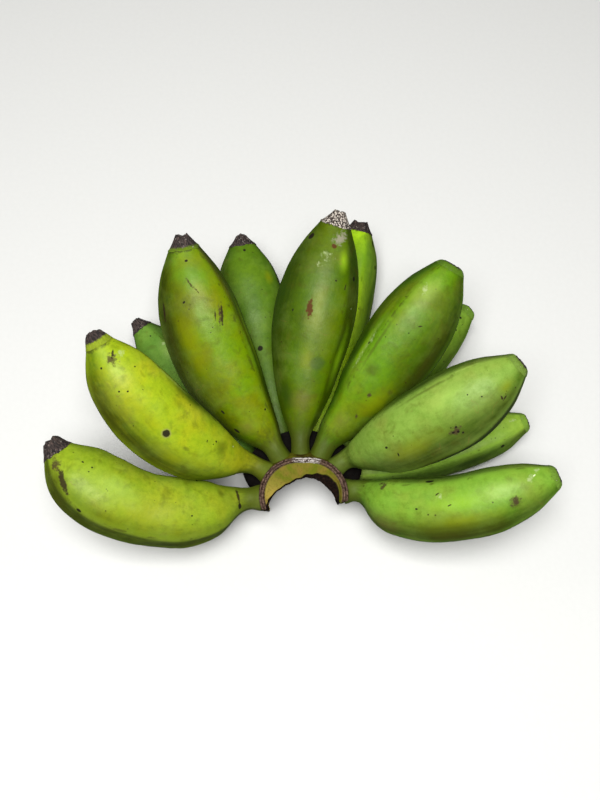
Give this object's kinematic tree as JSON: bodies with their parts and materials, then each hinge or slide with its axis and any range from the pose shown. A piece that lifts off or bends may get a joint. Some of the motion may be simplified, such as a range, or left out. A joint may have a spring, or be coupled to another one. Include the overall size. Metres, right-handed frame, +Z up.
{
  "type": "hand of green bananas",
  "caption": "Hand of short, plump green bananas in two fanned rows on one arched crown, lying on its lower row, with dried flower stubs at the tips.",
  "frame": {"origin": "on the surface that the hand lies on, under the middle of its outline from above", "axes": "+Z up, crown at the -Y side with its hollow towards -Y, finger tips fanned from -X over +Y to +X"},
  "size_m": [0.2759, 0.2137, 0.1216],
  "materials": {
    "peel": "satin, waxy, with ridges, freckles and scars",
    "crown": "matt, fibrous, dark at the cut",
    "dry_flower": "dry and matt"
  },
  "bodies": {
    "root": {"crown": "crown", "finger_front_1": "peel", "finger_front_2": "peel", "finger_front_3": "peel", "finger_front_4": "peel", "finger_front_5": "peel", "finger_front_6": "peel", "finger_front_7": "peel", "finger_back_1": "peel", "finger_back_2": "peel", "finger_back_3": "peel", "finger_back_4": "peel", "finger_back_5": "peel", "blossom_end_front_1": "dry_flower", "blossom_end_front_2": "dry_flower", "blossom_end_front_3": "dry_flower", "blossom_end_front_4": "dry_flower", "blossom_end_front_5": "dry_flower", "blossom_end_front_6": "dry_flower", "blossom_end_front_7": "dry_flower", "blossom_end_back_1": "dry_flower", "blossom_end_back_2": "dry_flower", "blossom_end_back_3": "dry_flower", "blossom_end_back_4": "dry_flower", "blossom_end_back_5": "dry_flower"}
  },
  "joints": []
}
